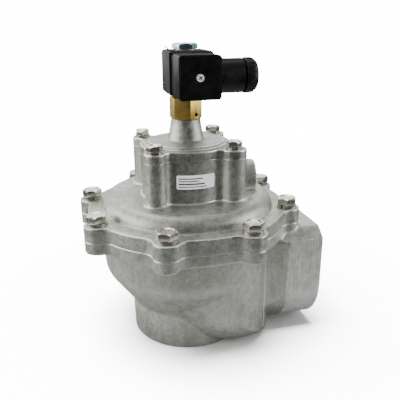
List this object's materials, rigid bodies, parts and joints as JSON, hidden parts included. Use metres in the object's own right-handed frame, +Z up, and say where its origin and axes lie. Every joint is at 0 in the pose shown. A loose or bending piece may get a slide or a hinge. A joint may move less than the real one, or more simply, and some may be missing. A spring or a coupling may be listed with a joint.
{
  "type": "pulse valve",
  "caption": "Right-angle diaphragm pulse valve with threaded inlet and outlet, bolted covers, a sprung pilot stage and a solenoid coil with a square plug and cable gland.",
  "frame": {"origin": "centre of the outlet's end face, which is the lowest face", "axes": "+Z up along the outlet, the diaphragms and the pilot; +X out of the inlet; the plug is on the -Y side"},
  "size_m": [0.1713, 0.1566, 0.2159],
  "materials": {
    "cast_aluminium": "shot-blasted die casting",
    "plated_steel": "zinc plated",
    "white_label": "printed film",
    "black_rubber": "moulded",
    "red_rubber": "moulded",
    "steel_plate": "turned",
    "brass": "turned and milled",
    "black_resin": "moulded",
    "blue_zinc": "blue zinc",
    "black_steel": "blackened",
    "black_plastic": "moulded",
    "grey_plastic": "moulded"
  },
  "bodies": {
    "housing": {"valve_body": "cast_aluminium", "main_cover": "cast_aluminium", "top_cover": "cast_aluminium", "flange_bolts": "plated_steel", "flange_spring_washers": "plated_steel", "top_cover_bolts": "plated_steel", "top_cover_spring_washers": "plated_steel", "tower_label": "white_label", "brass_base": "brass", "base_seal_ring": "black_rubber", "armature_tube": "steel_plate", "fixed_core": "steel_plate", "coil_nut": "blue_zinc", "tab_washer": "black_steel"},
    "main_diaphragm": {"main_membrane": "black_rubber", "main_seat_pad": "black_rubber", "main_lower_plate": "steel_plate", "main_upper_plate": "steel_plate", "main_centre_bolt": "plated_steel", "main_centre_nut": "plated_steel", "main_spring": "steel_plate"},
    "pilot_diaphragm": {"pilot_membrane": "black_rubber", "pilot_seal_disc": "black_rubber", "pilot_clamp_plate": "steel_plate", "pilot_rivet": "steel_plate", "pilot_spring": "steel_plate"},
    "plunger": {"plunger": "steel_plate", "plunger_seal": "red_rubber", "plunger_spring": "steel_plate"},
    "coil": {"coil_body": "black_resin", "coil_terminals": "plated_steel", "plug_gasket": "black_rubber", "plug_housing": "black_plastic", "terminal_block": "grey_plastic", "plug_screw": "blue_zinc", "gland_seal": "black_rubber"},
    "gland_washer": {"gland_washer": "plated_steel"},
    "gland_nut": {"gland_nut": "black_plastic"}
  },
  "joints": [
    {"name": "main_diaphragm_lift", "type": "slide", "parent": "housing", "child": "main_diaphragm", "axis": [0, 0, 1], "range_m": [0, 0.009], "stiffness_N_per_m": 800, "springref_m": -0.012, "deforming": ["main_membrane", "main_spring"]},
    {"name": "pilot_diaphragm_lift", "type": "slide", "parent": "housing", "child": "pilot_diaphragm", "axis": [0, 0, 1], "range_m": [0, 0.0023], "stiffness_N_per_m": 500, "springref_m": -0.006, "deforming": ["pilot_membrane", "pilot_spring"]},
    {"name": "plunger_travel", "type": "slide", "parent": "housing", "child": "plunger", "axis": [0, 0, 1], "range_m": [0, 0.0015], "stiffness_N_per_m": 400, "springref_m": -0.005, "deforming": ["plunger_spring"]},
    {"name": "coil_swivel", "type": "hinge", "parent": "housing", "child": "coil", "pos_m": [0, 0, 0.1964], "axis": [0, 0, 1], "range_deg": [-180, 180]},
    {"name": "gland_screw_travel", "type": "slide", "parent": "coil", "child": "gland_washer", "axis": [1, 0, 0], "range_m": [0, 0.0015]},
    {"name": "gland_nut_turn", "type": "hinge", "parent": "gland_washer", "child": "gland_nut", "pos_m": [0.0319, -0.0335, 0.1964], "axis": [1, 0, 0], "range_deg": [0, 360]}
  ],
  "couplings": [
    {"joint": "gland_nut_turn", "follows": "gland_screw_travel", "rad_per_m": 4188}
  ]
}
